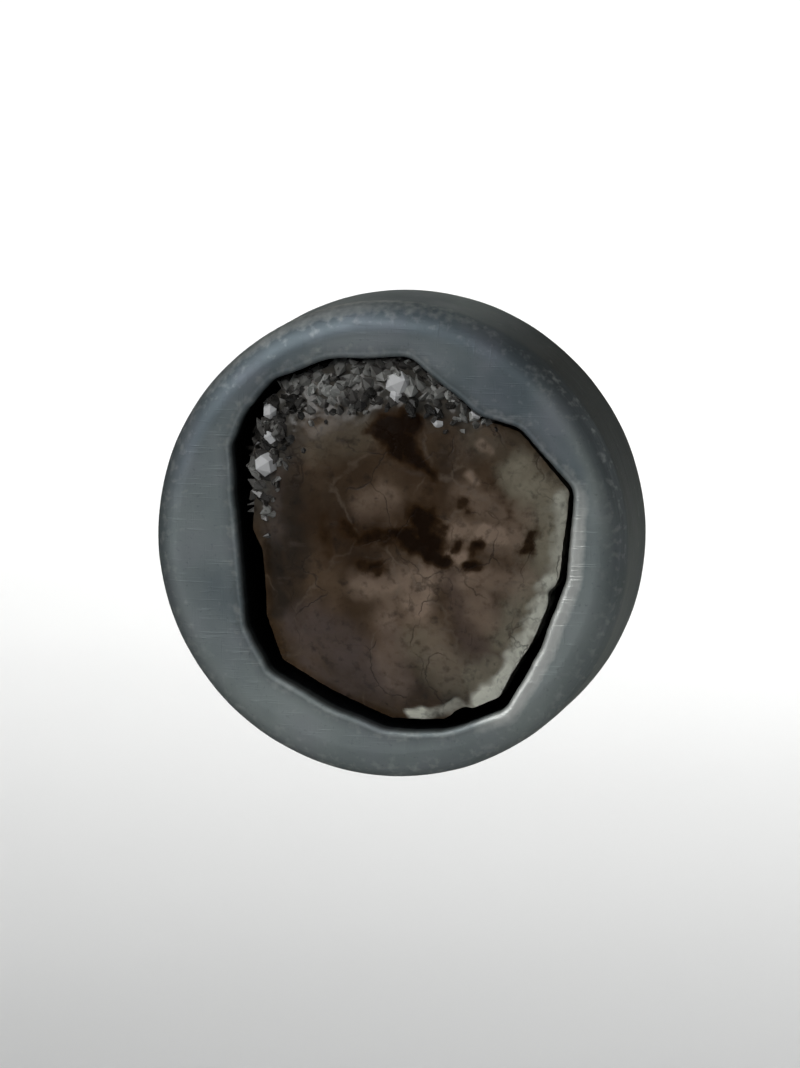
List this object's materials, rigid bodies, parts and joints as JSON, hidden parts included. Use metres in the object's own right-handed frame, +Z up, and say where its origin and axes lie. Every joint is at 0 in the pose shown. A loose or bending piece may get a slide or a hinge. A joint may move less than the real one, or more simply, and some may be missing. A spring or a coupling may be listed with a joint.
{
  "type": "stud earring",
  "caption": "Round darkened-silver stud earring with an irregular smoky stone let into its face, a straight ear post and a scroll ear nut.",
  "frame": {"origin": "centre of the disc's flat back, on the axis of the post, where the stud lies against the ear lobe", "axes": "-Y is the front that shows on the ear, +Y runs along the post through the lobe, +Z is up as the stud is worn, +X is right as seen from the front"},
  "size_m": [0.009, 0.0125, 0.009],
  "materials": {
    "oxidised_silver": "satin, darkened blue-grey",
    "smoky_stone": "glossy, mottled smoky brown with dark cracks",
    "plain_silver": "satin"
  },
  "bodies": {
    "root": {"setting": "oxidised_silver", "stone": "smoky_stone", "ear_nut": "plain_silver"}
  },
  "joints": []
}
